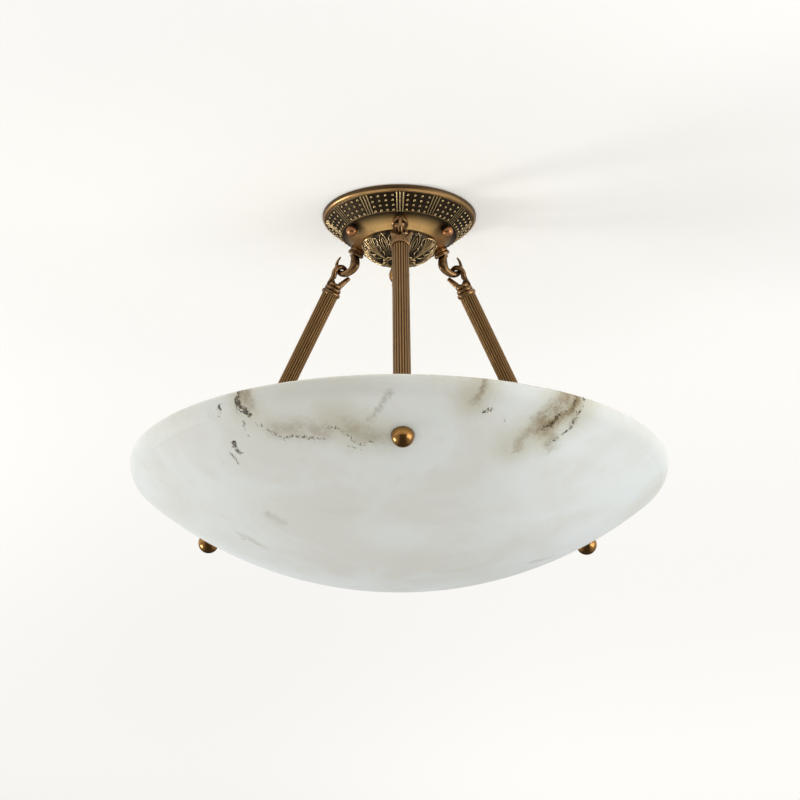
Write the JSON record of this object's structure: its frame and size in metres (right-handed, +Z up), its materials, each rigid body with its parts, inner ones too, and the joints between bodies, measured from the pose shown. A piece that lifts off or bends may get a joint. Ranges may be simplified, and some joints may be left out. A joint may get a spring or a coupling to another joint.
{
  "type": "bowl ceiling light",
  "caption": "Semi-flush ceiling light: a shallow alabaster bowl on reeded rods that hook into a beaded antique brass canopy with a leaf boss.",
  "frame": {"origin": "centre of the ceiling plane, between the two ceiling screw slots, on the light's axis", "axes": "+Z up into the ceiling, -Y to the front where one rod hangs, +X to the right"},
  "size_m": [0.5, 0.5, 0.3623],
  "materials": {
    "alabaster": "polished, pale grey-white with brown veins",
    "canopy_brass": "antique gold, darkened in the recesses",
    "polished_bronze": "polished antique bronze",
    "antique_bronze": "brushed antique bronze",
    "dark_bronze": "blackened bronze",
    "zinc_steel": "zinc plated",
    "rubber_gasket": "matt black",
    "terminal_plastic": "matt white",
    "holder_plastic": "matt ivory",
    "lamp_cap_metal": "bright screw thread",
    "frosted_glass": "frosted white"
  },
  "bodies": {
    "canopy": {"canopy": "canopy_brass", "canopy_hook_front": "antique_bronze", "canopy_hook_left": "antique_bronze", "canopy_hook_right": "antique_bronze", "clamp_disc": "zinc_steel", "hook_nuts": "zinc_steel", "hub_cap": "antique_bronze", "lamp_holder_left": "holder_plastic", "lamp_holder_rear": "holder_plastic", "lamp_holder_right": "holder_plastic", "lamp_hub": "antique_bronze", "leaf_boss": "canopy_brass", "mounting_bracket": "zinc_steel", "screw_collars": "dark_bronze", "stem_nut": "zinc_steel", "stem_tube": "antique_bronze", "terminal_block": "terminal_plastic", "turned_ball": "polished_bronze"},
    "hung_bowl": {"bowl": "alabaster", "bowl_studs": "zinc_steel", "foot_washers": "antique_bronze", "inner_gaskets": "rubber_gasket", "outer_gaskets": "rubber_gasket", "reeded_rod_front": "antique_bronze", "reeded_rod_left": "antique_bronze", "reeded_rod_right": "antique_bronze", "rod_head_front": "antique_bronze", "rod_head_left": "antique_bronze", "rod_head_right": "antique_bronze"},
    "ball_nut_front": {"ball_nut_front": "polished_bronze"},
    "ball_nut_right": {"ball_nut_right": "polished_bronze"},
    "ball_nut_left": {"ball_nut_left": "polished_bronze"},
    "canopy_screw_left": {"canopy_screw_left": "polished_bronze"},
    "canopy_screw_right": {"canopy_screw_right": "polished_bronze"},
    "canopy_screw_rear": {"canopy_screw_rear": "polished_bronze"},
    "lamp_left": {"lamp_cap_left": "lamp_cap_metal", "lamp_globe_left": "frosted_glass"},
    "lamp_right": {"lamp_cap_right": "lamp_cap_metal", "lamp_globe_right": "frosted_glass"},
    "lamp_rear": {"lamp_cap_rear": "lamp_cap_metal", "lamp_globe_rear": "frosted_glass"}
  },
  "joints": [
    {"name": "bowl_lift", "type": "slide", "parent": "canopy", "child": "hung_bowl", "axis": [0, 0, 1], "range_m": [0, 0.003]},
    {"name": "ball_nut_turn_front", "type": "hinge", "parent": "hung_bowl", "child": "ball_nut_front", "pos_m": [0, -0.21094, -0.29814], "axis": [0, -0.5, -0.866], "continuous": true},
    {"name": "ball_nut_turn_right", "type": "hinge", "parent": "hung_bowl", "child": "ball_nut_right", "pos_m": [0.18268, 0.10547, -0.29814], "axis": [0.433, 0.25, -0.866], "continuous": true},
    {"name": "ball_nut_turn_left", "type": "hinge", "parent": "hung_bowl", "child": "ball_nut_left", "pos_m": [-0.18268, 0.10547, -0.29814], "axis": [-0.433, 0.25, -0.866], "continuous": true},
    {"name": "canopy_screw_turn_left", "type": "hinge", "parent": "canopy", "child": "canopy_screw_left", "pos_m": [-0.0433, -0.025, -0.02189], "axis": [-0.433, -0.25, -0.866], "continuous": true},
    {"name": "canopy_screw_turn_right", "type": "hinge", "parent": "canopy", "child": "canopy_screw_right", "pos_m": [0.0433, -0.025, -0.02189], "axis": [0.433, -0.25, -0.866], "continuous": true},
    {"name": "canopy_screw_turn_rear", "type": "hinge", "parent": "canopy", "child": "canopy_screw_rear", "pos_m": [0, 0.05, -0.02189], "axis": [0, 0.5, -0.866], "continuous": true},
    {"name": "lamp_turn_left", "type": "hinge", "parent": "canopy", "child": "lamp_left", "pos_m": [-0.01602, -0.00925, -0.2698], "axis": [-0.866, -0.5, 0], "continuous": true},
    {"name": "lamp_turn_right", "type": "hinge", "parent": "canopy", "child": "lamp_right", "pos_m": [0.01602, -0.00925, -0.2698], "axis": [0.866, -0.5, 0], "continuous": true},
    {"name": "lamp_turn_rear", "type": "hinge", "parent": "canopy", "child": "lamp_rear", "pos_m": [0, 0.0185, -0.2698], "axis": [0, 1, 0], "continuous": true}
  ]
}
